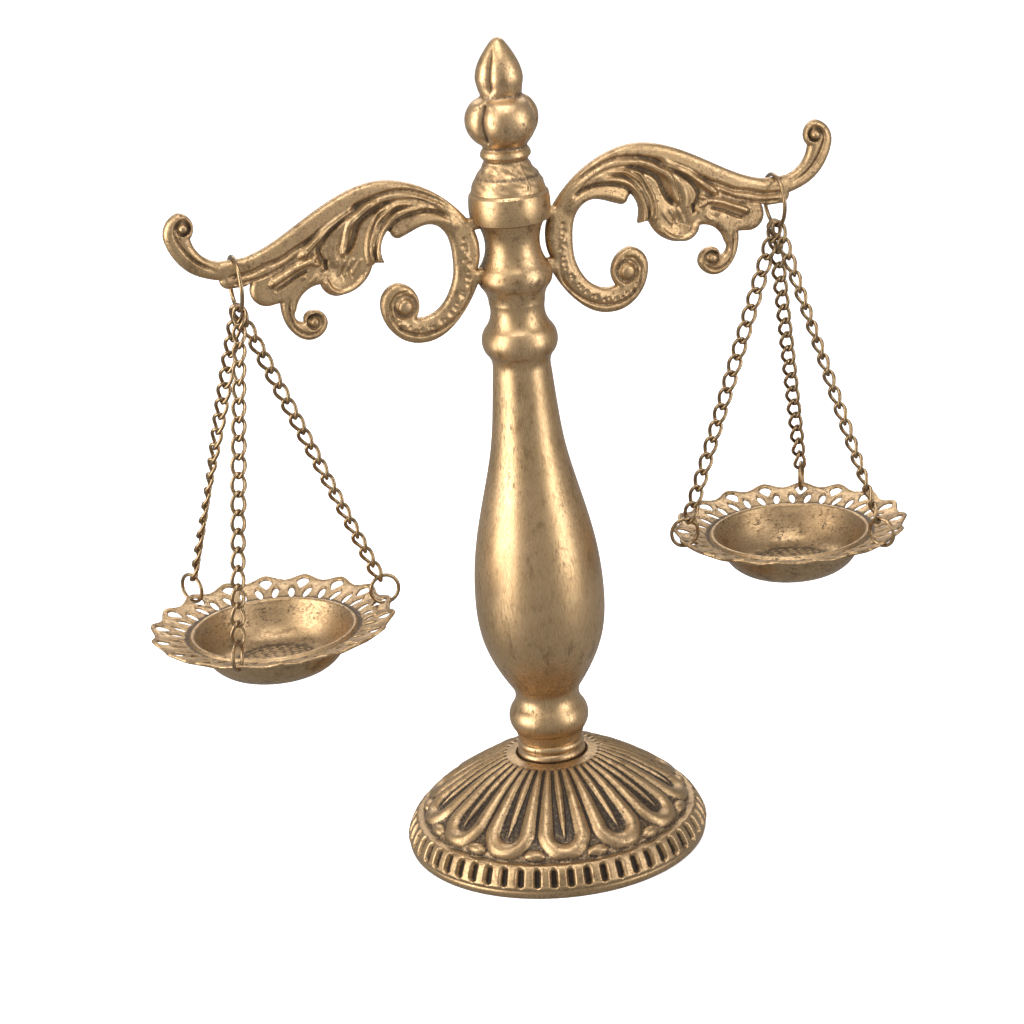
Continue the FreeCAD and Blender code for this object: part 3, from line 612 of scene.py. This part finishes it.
# Each stroke: half width and rise in mm, then points (x, z) of the right arm
# in the frame of the model. Grooves have a negative rise.
STROKES = [
    # groove under the top band, and the faint one beside it
    (1.25, -1.0, [(17, 216.5), (20, 219.8), (24, 222.7), (30, 225.7), (35.5, 227.2),
                  (41, 226.9), (46, 225.8), (51, 224.2), (58, 220.9), (65, 216.4), (70, 214),
                  (75, 211.5), (80, 210.3), (85, 208.7), (91, 208.2)]),
    (0.8, -0.45, [(22, 218.2), (26, 221.4), (30.5, 223.6), (36, 224.4), (41, 223.9)]),
    # the leafy middle lies deeper than the bands
    (7.5, -0.75, [(40, 219), (48, 217), (55, 213), (58, 208), (56, 203)]),
    (5.0, -0.5, [(62, 215), (68, 210), (74, 206)]),
    # first leaf
    (2.8, 0.9, [(17.5, 212), (21, 215.2), (26, 216.6), (31, 216.4), (35, 215), (37.5, 213.8)]),
    (1.1, -1.1, [(20, 216.0), (24, 218.8), (30.5, 219.9), (35.8, 218.9), (39, 217.2),
                 (40.2, 215)]),
    # second leaf with two fine ribs beside it
    (2.2, 1.35, [(28, 221), (33, 221), (37.5, 219.6), (40.6, 217.4), (42.9, 214.6),
                 (43.9, 210), (43.8, 205.6)]),
    (0.7, -0.9, [(30, 221.9), (36.5, 221.6), (39.8, 219.6), (42.2, 216.9), (44.2, 213),
                 (45.2, 209), (45, 205.8)]),
    (0.8, 0.9, [(32, 223), (37.3, 223), (40.7, 221), (43.3, 218.6), (44.8, 215.5),
                (46, 212.7), (46.5, 209.3), (46.1, 206.5)]),
    (0.75, 0.8, [(40, 222.6), (43, 221.6), (45.5, 217.6), (47.3, 213.4), (47.9, 209.3),
                 (47.6, 206.0)]),
    # deep groove, rib, deep groove, rib: the fanned middle of the leaf
    (1.4, -1.2, [(37.5, 224), (41.5, 223.5), (44.6, 222.2), (47.7, 220.5), (49.9, 218.1),
                 (51, 215), (52.5, 212), (54.2, 210.2)]),
    (1.5, 1.75, LEFT_RIB),
    (0.4, -0.45, [(43.5, 224.8)] + LEFT_RIB[1:-1]),
    (1.3, -1.1, [(46.8, 225.1), (50.5, 223.4), (54.3, 221.3), (57.4, 219.2), (59.8, 217.1),
                 (61.7, 214.5), (62.9, 211.7), (61.6, 208.3)]),
    (1.6, 1.7, RIGHT_RIB),
    (0.4, -0.45, [(51, 224.1)] + RIGHT_RIB[1:-1]),
    (2.4, 0.9, [(50, 222), (53.5, 219.3), (56.5, 216), (58, 212), (58, 208)]),
    # cupped lobe: its raised rim, short ribs, slot and curls
    (1.3, 1.1, [(48.6, 203.5), (50.5, 200.8), (53.5, 198.8), (57, 198.2), (60, 199.6),
                 (61.6, 202.5)]),
    (3.6, -0.75, [(53.2, 204.2), (56.2, 203.6)]),
    (0.9, 0.4, [(49.8, 208.2), (51.6, 205.6), (53.2, 203.6)]),
    (0.9, 0.4, [(52.2, 208.8), (53.8, 206.2), (55.2, 203.4)]),
    (0.9, 0.4, [(55.0, 208.6), (56.3, 206.0), (57.2, 203.6)]),
    (0.9, -1.1, [(60.8, 209.2), (61.0, 206.0)]),
    (1.2, 1.0, [(62.6, 211.2), (64.6, 210.4), (65.0, 208.9), (63.4, 208.2)]),
    (1.0, 0.5, [(61.8, 206.9), (62.4, 206.3)]),
    (1.4, 0.5, [(68.0, 205.3), (68.8, 204.9)]),
    (0.9, 0.5, [(64.5, 205.3), (65.4, 203.8), (66.8, 203)]),
    # tapering bar under the rail, grooves above and below it
    (1.6, 1.5, [(64.3, 209.9), (69.4, 208.6), (73.2, 206.9), (77, 205.2), (78.6, 204.3)]),
    (0.8, -0.8, [(66, 207), (70, 205.6), (74.5, 203.2), (77.3, 202)]),
    (0.8, -0.75, [(69, 212.2), (73.7, 209.4), (79.6, 207.3), (84.8, 206.2), (90, 206)]),
    (0.6, -0.45, [(70, 210.2), (74, 208.2), (78.4, 206.3)]),
    # drop scroll
    (0.75, -0.85, [(73.6, 199), (73.8, 194), (72.7, 189.5), (69.8, 186.9), (66.3, 186.6),
                   (64, 188.6), (63.9, 191.2), (65.7, 192.4), (68, 191.6)]),
    # lower scroll: groove between the smooth outer band and the punched one
    (0.9, -0.8, [(13.9, 197), (15.5, 190.5), (18.7, 186.3), (23, 182.8), (28, 180.8),
                 (33, 180.6), (38, 182.5), (41, 186), (41.8, 190.5), (39.7, 194.2),
                 (36.5, 195)]),
    (1.7, 0.45, PUNCHED_PATH),
    # end scroll
    (0.75, -0.85, [(95, 210.6), (101, 214.5), (104.6, 219), (106.6, 223.5), (106, 226.8),
                   (103.6, 228), (101.9, 226.2), (102.4, 223.9), (104.4, 223.6)]),
]
DENT_SPACING, DENT_RADIUS, DENT_DEPTH = 2.1, 1.05, 0.55
# domed eyes of the scrolls: x, z, radius, rise, radius of the pocket round it
EYES = [(37.1, 190.4, 2.3, 1.3, 3.9), (66.4, 190.2, 1.35, 1.0, 2.2),
        (104.0, 225.4, 1.3, 0.9, 2.0)]
EYE_DITCH = 1.0             # depth of the ditch between an eye and its pocket's edge
# all of these are measured from the middle plane of the arm, in mm
ARM_HALF = 2.3
ARM_EDGE = 0.45
SADDLE_EDGE = 0.1
ARM_FULL, ARM_MOST = 2.9, 3.9   # above the first the relief levels off, up to the second
ARM_CELL = 0.25
ARM_ROUND = 2.2             # width of the rounding along the outline
KEYS_END = (13.5, 15.0)     # nothing stands proud on the keys, at a smaller x than these
RAIL_PLAIN = (84.5, 86.0, 93.0, 94.5)   # nor along these x, where the ring hangs
SADDLE = (84.6, 85.8, 93.4, 94.6)       # x where the rail is rounded over under the ring
SADDLE_SUNK = 0.04


def outline_of(node):
    """Outline of a CAD plate where it crosses y = 0, in mm."""
    mesh = nodes[node].data
    mesh.calc_loop_triangles()
    co = np.zeros(len(mesh.vertices) * 3, np.float32)
    mesh.vertices.foreach_get("co", co)
    co = co.reshape(-1, 3).astype(float) / MM
    tri = np.zeros(len(mesh.loop_triangles) * 3, np.int32)
    mesh.loop_triangles.foreach_get("vertices", tri)
    links = {}
    spots = {}
    for a, b, c in tri.reshape(-1, 3):
        ends = []
        for p, q in ((a, b), (b, c), (c, a)):
            p, q = co[p], co[q]
            if (p[1] > 0) != (q[1] > 0):
                t = p[1] / (p[1] - q[1])
                spot = p + t * (q - p)
                key = (round(spot[0], 3), round(spot[2], 3))
                spots[key] = (spot[0], spot[2])
                ends.append(key)
        if len(ends) == 2 and ends[0] != ends[1]:
            links.setdefault(ends[0], set()).add(ends[1])
            links.setdefault(ends[1], set()).add(ends[0])
    best = []
    left = set(links)
    while left:
        at = min(left)
        loop = [at]
        left.discard(at)
        while True:
            onward = [k for k in links[at] if k in left]
            if not onward:
                break
            at = onward[0]
            left.discard(at)
            loop.append(at)
        if len(loop) > len(best):
            best = loop
    return np.array([spots[k] for k in best])


def arm_relief(spots):
    """Sum of the strokes, the punched dents and the eyes, at (x, z) spots."""
    relief = np.zeros(len(spots))
    for half, rise, points in STROKES:
        line = curve_through(points, 5)
        low, high = line.min(0) - half, line.max(0) + half
        near = np.all((spots > low) & (spots < high), axis=1)
        away, share = distance_to(line, spots[near])
        # strokes swell from their start and end bluntly
        taper = smooth_step(0.0, 0.16, share + 0.01) * smooth_step(1.0, 0.95, share - 0.03)
        relief[near] += rise * bump_shape(away, half) * taper
    # dents a little out of line, and of different sizes
    dents = np.zeros(len(spots))
    for k, (x, z) in enumerate(resample(curve_through(PUNCHED_PATH), DENT_SPACING)):
        lean = 0.4 * math.sin(2.6 * k)
        away = np.hypot(spots[:, 0] - x - lean, spots[:, 1] - z + lean)
        dents = np.maximum(dents, bump_shape(away, DENT_RADIUS + 0.3 * math.sin(2.3 * k)))
    relief -= DENT_DEPTH * dents
    for x, z, radius, rise, pocket in EYES:
        away = np.hypot(spots[:, 0] - x, spots[:, 1] - z)
        from_ditch = np.abs(away - (radius + pocket) / 2 - 0.2)
        relief -= EYE_DITCH * bump_shape(from_ditch, (pocket - radius) / 2 + 0.4)
        relief += rise * np.sqrt(np.clip(1 - (away / radius) ** 2, 0, 1))
    return relief


def rounded(depth, radius):
    """Height of a quarter circle at a depth in from its edge, level beyond it."""
    return np.sqrt(np.clip(radius ** 2 - (radius - np.clip(depth, 0, radius)) ** 2, 0, None))


def arm_shape():
    """The right arm as a closed relief: points, faces, rim edges and the cavity value."""
    outline = outline_of("right_arm")
    low, high = outline.min(0) - 1.0, outline.max(0) + 1.0
    xs = np.arange(low[0], high[0], ARM_CELL)
    zs = np.arange(low[1], high[1], ARM_CELL)
    grid = np.stack(np.meshgrid(xs, zs, indexing="ij"), -1).reshape(-1, 2)
    along = grid[:, 0]
    away, _ = distance_to(outline, grid, closed=True)
    within = is_within(outline, grid)
    signed = np.where(within, away, -away)
    field = signed.reshape(len(xs), len(zs))
    relief = np.zeros(len(grid))
    relief[within] = arm_relief(grid[within])
    plain = smooth_step(KEYS_END[1], KEYS_END[0], along) + plateau(along, RAIL_PLAIN)
    relief = np.where(relief > 0, relief * (1 - plain), relief)
    depth = np.clip(signed, 0, ARM_ROUND) / ARM_ROUND
    half = ARM_EDGE + (ARM_HALF - ARM_EDGE) * np.sqrt(1 - (1 - depth) ** 2)
    half = np.clip(half + relief * smooth_step(0.0, 1.0, signed), ARM_EDGE, None)
    spare = ARM_MOST - ARM_FULL
    half = np.where(half > ARM_FULL, ARM_FULL + spare * np.tanh((half - ARM_FULL) / spare), half)
    # under the ring the rail is rounded over, so that the ring can roll on it
    rolled = np.clip(rounded(signed, ARM_HALF) - SADDLE_SUNK, SADDLE_EDGE, None)
    half = np.where(half > rolled, half + plateau(along, SADDLE) * (rolled - half), half)
    half = half.reshape(field.shape)
    dark = 0.85 * hollows(relief.reshape(field.shape), 4.5, 0.85)
    spots, faces, rims, whole = march(field, wrap=False)
    ij = np.round(spots[:whole]).astype(int)
    x = xs[0] + spots[:, 0] * ARM_CELL
    z = zs[0] + spots[:, 1] * ARM_CELL
    thick = ARM_EDGE + plateau(x, SADDLE) * (SADDLE_EDGE - ARM_EDGE)
    thick[:whole] = half[ij[:, 0], ij[:, 1]]
    cavity = np.zeros(len(spots))
    cavity[:whole] = dark[ij[:, 0], ij[:, 1]]
    front = np.column_stack([x, -thick, z])
    back = np.column_stack([x, thick, z])
    return np.vstack([front, back]), faces, rims, np.concatenate([cavity, cavity])


def make_arms():
    points, faces, rims, cavity = arm_shape()
    made = []
    for name, side in SIDES:
        closed = two_sided(faces, rims, len(points) // 2, flip=side < 0)
        made.append(piece(name + "_scroll_arm", points * (side, 1, 1), closed, "stand",
                          name + "_arm", cavity))
    return made


# ---- pans
LOBES = 18
LOBE_TIP = 39.3
LOBE_VALLEY = 37.1
BOWL_OUTSIDE = [(0.3, 0.0), (6.0, 0.0), (12.0, 0.1), (16.5, 0.95), (19.8, 3.0), (22.2, 5.9),
                (23.8, 9.2), (25.1, 11.4), (27.0, 12.0)]
BOWL_INSIDE = [(27.5, 12.7), (27.0, 13.2), (26.3, 13.9), (25.4, 13.65), (24.7, 12.6),
               (23.6, 10.9), (22.2, 8.5), (20.2, 5.6), (17.6, 3.1), (14.2, 1.7), (11.0, 1.2),
               (6.0, 1.15), (0.3, 1.15)]
BOWL_COLS = 180
RIM_SPAN, RIM_STEP = (26.6, 39.8), 0.24     # radii of the rim's grid
RIM_COLS = 44               # columns of that grid to a lobe
RIM_HEIGHT, RIM_CLIMB, RIM_DIP = 12.25, 4.3, 0.32
RIM_HALF, EDGE_HALF = 0.42, 0.16        # half thickness inside the sheet and at its edges
DASH_ROW, DASH_RISE = 1.3, 0.35
DASHED_RADII = (1.0, 3.0, 13.0, 15.5)
KITE_AT, KITE_HALF_WIDTH, KITE_OUTWARD, KITE_INWARD = 35.9, 2.05, 1.75, 3.2
LEAF_AT, LEAF_APART, LEAF_HALF_WIDTH, LEAF_HALF_LENGTH, LEAF_LEAN = 30.75, 2.7, 0.98, 2.45, 0.27


def rim_edge(turn):
    """Radius of the rim at an angle from the middle line of a lobe: pointed lobes."""
    t = np.abs(turn) / (math.pi / LOBES)
    point = 1.0 - np.sqrt(t * t + 0.03) + 0.16 * bump_shape(1 - t, 0.35)
    return LOBE_VALLEY + (LOBE_TIP - LOBE_VALLEY) * np.clip(point, 0, 1) / 0.83


def lace(radius, turn):
    """Signed size in mm of the metal at a place of the rim; negative is open.

    `turn` is the angle from the middle line of the lobe.
    """
    metal = (rim_edge(turn) - radius) * 0.8
    across = radius * turn
    # kite-shaped opening in the lobe, pointed towards the bowl
    out = radius - KITE_AT
    wide = KITE_HALF_WIDTH * np.clip(1 - 0.16 * np.clip(-out, 0, None), 0.2, 1)
    tall = np.where(out > 0, KITE_OUTWARD, KITE_INWARD)
    kite = np.sqrt((across / wide) ** 2 + (out / tall) ** 2)
    metal = np.minimum(metal, (kite - 1) * 1.7)
    # two slender leaves below it, drawing together towards the bowl
    for side in (-1, 1):
        u, v = side * across - LEAF_APART, radius - LEAF_AT
        a = u * math.cos(LEAF_LEAN) - v * math.sin(LEAF_LEAN)
        b = u * math.sin(LEAF_LEAN) + v * math.cos(LEAF_LEAN)
        leaf = np.sqrt((a / LEAF_HALF_WIDTH) ** 2 + (b / LEAF_HALF_LENGTH) ** 2)
        metal = np.minimum(metal, (leaf - 1) * LEAF_HALF_WIDTH)
    return metal


def lace_rim(centre, floor, inward):
    """The pierced rim, a closed sheet: points, faces and the cavity value."""
    radii = np.arange(*RIM_SPAN, RIM_STEP)
    cols = LOBES * RIM_COLS
    angles = round_about(cols)
    field = lace(radii[:, None], nearest(angles, inward, LOBES)[None, :])
    spots, faces, rims, whole = march(field, wrap=True)
    ij = np.round(spots[:whole]).astype(int)
    size = np.zeros(len(spots))
    size[:whole] = field[ij[:, 0], ij[:, 1]]
    r = radii[0] + spots[:, 0] * (radii[1] - radii[0])
    a = spots[:, 1] * (2 * math.pi / cols)
    # the sheet climbs outwards and dips between the lobes
    z = RIM_HEIGHT + RIM_CLIMB * ((r - radii[0]) / (LOBE_TIP - radii[0])) ** 0.9
    z += RIM_DIP * (np.cos(LOBES * (a - inward)) - 1) * smooth_step(30.0, 38.0, r)
    z = floor + z
    half = EDGE_HALF + (RIM_HALF - EDGE_HALF) * np.sqrt(1 - (1 - np.clip(size / 0.45, 0, 1)) ** 2)
    # a bead along the scalloped edge, and a ridge round each opening
    near_edge = rim_edge(nearest(a, inward, LOBES)) - r
    half += 0.16 * bump_shape(np.abs(near_edge - 0.55), 0.6) * (size > 0)
    ridge = 0.12 * bump_shape(np.clip(size, 0, 1) - 0.6, 0.6) * (size > 0.2)
    x, y = centre[0] + r * np.cos(a), centre[1] + r * np.sin(a)
    top = np.column_stack([x, y, z + half + ridge])
    under = np.column_stack([x, y, z - half])
    dark = 0.9 * bump_shape(r - 27.6, 1.5) + 0.25 * bump_shape(r - 30.0, 2.5)
    return (np.vstack([top, under]), two_sided(faces, rims, len(top)),
            np.concatenate([dark, np.zeros(len(r))]))


def dished_bowl(centre, floor):
    """The bowl, closed inside and out: points, faces and the cavity value."""
    outside = resample(curve_through(BOWL_OUTSIDE), 0.5)
    line = np.vstack([outside, resample(curve_through(BOWL_INSIDE), 0.25)])
    rows = len(line)
    around = round_about(BOWL_COLS)
    radius, height = line.T[:, :, None]
    points = turned(radius, height + floor, around, centre).reshape(rows, BOWL_COLS, 3)
    inner = (np.arange(rows) > len(outside))[:, None]
    # rings of short punched dashes on the floor of the bowl
    ring = np.floor(radius / DASH_ROW)
    in_ring = np.maximum(np.round(2.6 * (ring + 0.5)), 3)
    dashes = (np.sin(math.pi * radius / DASH_ROW) ** 2
              * (0.5 + 0.5 * np.sin(in_ring * around[None, :] + 2.0 * ring)))
    dashes = dashes * plateau(radius, DASHED_RADII) * inner
    points[:, :, 2] += DASH_RISE * dashes
    faces = grid_faces(rows, BOWL_COLS)
    faces.append(tuple(range(BOWL_COLS))[::-1])
    faces.append(tuple((rows - 1) * BOWL_COLS + j for j in range(BOWL_COLS)))
    dark = (0.85 * (1 - dashes) * smooth_step(16.5, 14.0, radius)
            + 0.4 * bump_shape(np.abs(radius - 16.0), 4.0)
            + 0.5 * bump_shape(np.abs(radius - 23.4), 2.2)) * inner
    return points.reshape(-1, 3), faces, dark.ravel()


def make_pan(name, side):
    node = name + "_pan"
    low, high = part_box(node)
    centre = ((low.x + high.x) / 2 / MM, (low.y + high.y) / 2 / MM)
    floor = low.z / MM
    rim, rim_faces, rim_dark = lace_rim(centre, floor, math.pi if side > 0 else 0.0)
    bowl, bowl_faces, bowl_dark = dished_bowl(centre, floor)
    faces = rim_faces + [tuple(v + len(rim) for v in f) for f in bowl_faces]
    return piece(name + "_lace_pan", np.vstack([rim, bowl]), faces, name + "_pan_set",
                 node, np.concatenate([rim_dark, bowl_dark]))


# ---- chains
LINKS = 18
LINK_WIRE = 0.62
LINK_WIDTH = 5.2
LINK_SLACK = 0.06
RING_WIRE = 0.65
RIM_RING_WIRE = 0.6
PLAY = 0.03
TOP_SPACING = 1.25
TWIST = math.radians(45.0)
# how far each chain turns to and fro along its length, in radians
WANDER = {"inner": 0.2, "front": -0.3, "back": 0.35}


def curb_link(length, steps=30, sides=8):
    """One twisted oval link along z, centred on the origin."""
    t = round_about(steps)
    z = length / 2 * np.cos(t)
    v = (LINK_WIDTH / 2 - LINK_WIRE) * np.sign(np.sin(t)) * np.abs(np.sin(t)) ** 0.85
    turn = TWIST * np.cos(t)
    line = np.column_stack([v * np.cos(turn), v * np.sin(turn), z])
    ahead = np.roll(line, -1, axis=0) - np.roll(line, 1, axis=0)
    ahead /= np.linalg.norm(ahead, axis=1)[:, None]
    outward = line * (1, 1, 0.6)
    side = np.cross(ahead, outward)
    side /= np.linalg.norm(side, axis=1)[:, None]
    lift = np.cross(side, ahead)
    s = round_about(sides)
    ring = (line[:, None] + LINK_WIRE * (np.cos(s)[None, :, None] * lift[:, None]
                                         + np.sin(s)[None, :, None] * side[:, None]))
    faces = []
    for i in range(steps):
        n = (i + 1) % steps
        for j in range(sides):
            m = (j + 1) % sides
            faces.append((i * sides + j, i * sides + m, n * sides + m, n * sides + j))
    return ring.reshape(-1, 3), faces


def middle_and_size(node):
    low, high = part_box(node)
    return np.array((low + high) / 2) / MM, np.array(high - low) / MM


def make_chain(name, side, mark, turn):
    bearing = (math.pi if side > 0 else 0.0) + math.radians(turn)
    radial = np.array([math.cos(bearing), math.sin(bearing), 0.0])
    ring, ring_size = middle_and_size(name + "_hang_ring")
    ring_radius = ring_size[2] / 2 - RING_WIRE
    offset = TOP_SPACING * round(math.sin(bearing))
    hook = ring + (0, offset, -math.sqrt(ring_radius ** 2 - offset ** 2))
    foot_ring, foot_size = middle_and_size("%s_%s_rim_ring" % (name, mark))
    up = hook - foot_ring
    up /= np.linalg.norm(up)
    over = np.array([up[0], 0, up[2]]) / math.hypot(up[0], up[2])
    top = hook + over * (RING_WIRE + LINK_WIRE + PLAY)
    down = foot_ring - top
    down /= np.linalg.norm(down)
    inner = foot_size[2] / 2 - 2 * RIM_RING_WIRE
    foot = foot_ring - down * (inner - LINK_WIRE - PLAY)
    overlap = 2 * LINK_WIRE + LINK_SLACK
    pitch = (np.linalg.norm(foot - top) - overlap) / LINKS
    link, link_faces = curb_link(pitch + overlap)
    # axes across the chain: radial made square to it, and the one beside
    up = -down
    first = radial - up * (radial @ up)
    first /= np.linalg.norm(first)
    second = np.cross(up, first)
    start = -bearing - TWIST
    end = math.pi / 2 + TWIST
    change = (end - start + math.pi / 2) % math.pi - math.pi / 2
    points, faces = [], []
    for k in range(LINKS):
        # the chain hangs a little twisted, this way and back
        share = k / (LINKS - 1)
        roll = start + change * share + WANDER[mark] * math.sin(2 * math.pi * share)
        a = math.cos(roll) * first + math.sin(roll) * second
        b = np.cross(up, a)
        middle = top + down * ((pitch + overlap) / 2 + pitch * k)
        faces += [tuple(v + len(points) * len(link) for v in f) for f in link_faces]
        points.append(middle + link @ np.array([a, b, up]))
    return piece("%s_%s_curb_chain" % (name, mark), np.vstack(points), faces,
                 name + "_pan_set", "%s_%s_chain" % (name, mark))


# ---- the scene
CAMERA_ANGLES = (-16.84, 19.44, 4.6)    # azimuth, elevation and roll in degrees
CAMERA_TARGET = (-7.2, 0.0, 116.2)      # mm
CAMERA_AWAY = 0.9337                    # this and the sizes below are in metres
LENS, SENSOR = 101.3, 36.0
FLOOR_HALF = 6.0
BACKDROP_RADIUS, BACKDROP_SIDES = 5.5, 96
BACKDROP_HEIGHTS = (-0.5, 4.0)


def make_camera():
    """Long lens a little above the beam, turned left and rolled slightly."""
    azimuth, elevation, roll = (math.radians(v) for v in CAMERA_ANGLES)
    away = Vector((math.sin(azimuth) * math.cos(elevation),
                   -math.cos(azimuth) * math.cos(elevation), math.sin(elevation)))
    right = Vector((0, 0, 1)).cross(away).normalized()
    up = away.cross(right)
    across = math.cos(roll) * right - math.sin(roll) * up
    upward = math.sin(roll) * right + math.cos(roll) * up
    data = bpy.data.cameras.new("camera")
    data.lens = LENS
    data.sensor_width = SENSOR
    data.clip_start = 0.01
    camera = bpy.data.objects.new("camera", data)
    place = Matrix.Translation(Vector(CAMERA_TARGET) * MM + away * CAMERA_AWAY)
    camera.matrix_world = place @ Matrix((across, upward, away)).transposed().to_4x4()
    bpy.context.scene.collection.objects.link(camera)
    bpy.context.scene.camera = camera


def pale_surface(name, points, faces, base, specular, glow, strength):
    """A surface of the studio that gives off plain light, and its shader's inputs."""
    mesh = bpy.data.meshes.new(name)
    mesh.from_pydata(points, [], faces)
    surface = bpy.data.objects.new(name, mesh)
    bpy.context.scene.collection.objects.link(surface)
    material = bpy.data.materials.new("pale_" + name)
    material.use_nodes = True
    inputs = material.node_tree.nodes["Principled BSDF"].inputs
    inputs["Base Color"].default_value = base
    inputs["Specular IOR Level"].default_value = specular
    inputs["Emission Color"].default_value = glow
    inputs["Emission Strength"].default_value = strength
    mesh.materials.append(material)
    surface.visible_glossy = False
    return surface, inputs


def make_floor():
    corners = [(x * FLOOR_HALF, y * FLOOR_HALF, 0)
               for x, y in ((-1, -1), (1, -1), (1, 1), (-1, 1))]
    floor, inputs = pale_surface("floor", corners, [(0, 1, 2, 3)], (0.86, 0.86, 0.87, 1), 0.2,
                                 (1, 1, 1, 1), 0.62)
    inputs["Roughness"].default_value = 0.8


def make_backdrop():
    """A pale wall all round, for low views; it neither lights nor shades the scale."""
    heights = np.array(BACKDROP_HEIGHTS)[:, None]
    spots = turned(BACKDROP_RADIUS + 0 * heights, heights, round_about(BACKDROP_SIDES))
    wall, _ = pale_surface("backdrop", spots.tolist(), grid_faces(2, BACKDROP_SIDES),
                           (0, 0, 0, 1), 0.0, (0.98, 0.99, 1, 1), 1.0)
    wall.visible_diffuse = wall.visible_shadow = wall.visible_transmission = False


def soft_light(name, place, aim, size, power, colour=(1, 1, 1)):
    data = bpy.data.lights.new(name, "AREA")
    data.shape = "RECTANGLE"
    data.size, data.size_y = size
    data.energy = power
    data.color = colour
    light = bpy.data.objects.new(name, data)
    light.location = place
    way = Vector(aim) - Vector(place)
    light.rotation_euler = way.to_track_quat("-Z", "Y").to_euler()
    bpy.context.scene.collection.objects.link(light)


def make_lights():
    """Upright soft boxes to the left and right, one overhead, one behind, a pale world."""
    middle = (0.0, 0.0, 0.13)
    soft_light("left_box", (-0.95, -0.12, 0.35), middle, (0.75, 1.1), 14.0, (1.0, 0.985, 0.96))
    soft_light("right_box", (0.75, -0.85, 0.4), middle, (0.45, 1.1), 7.5)
    soft_light("top_box", (-0.1, -0.25, 1.15), middle, (0.7, 0.5), 6.0)
    soft_light("back_box", (0.25, 0.95, 0.9), middle, (1.2, 0.5), 6.0)
    world = bpy.data.worlds.new("studio")
    world.use_nodes = True
    inputs = world.node_tree.nodes["Background"].inputs
    inputs["Color"].default_value = (0.95, 0.97, 1.0, 1)
    inputs["Strength"].default_value = 0.42
    bpy.context.scene.world = world
    bpy.context.scene.view_settings.view_transform = "Standard"


make_camera()
make_floor()
make_backdrop()
make_lights()

finish_with(make_foot(), foot_brass)
finish_with(make_finial(), finial_brass)
for arm in make_arms():
    finish_with(arm, cast_brass)
for name, side in SIDES:
    finish_with(make_pan(name, side), pan_brass)
    for mark, turn in (("inner", 0.0), ("front", 120.0 * side), ("back", -120.0 * side)):
        finish_with(make_chain(name, side, mark, turn), wire_brass)
        finish_with(nodes["%s_%s_rim_ring" % (name, mark)], wire_brass)
    finish_with(nodes[name + "_hang_ring"], wire_brass)
for node in ("column", "lower_collar"):
    finish_with(nodes[node], turned_brass)
finish_with(nodes["beam_hub"], hub_brass)
for node in ("tie_rod", "rod_washer", "rod_nut"):
    finish_with(nodes[node], steel)
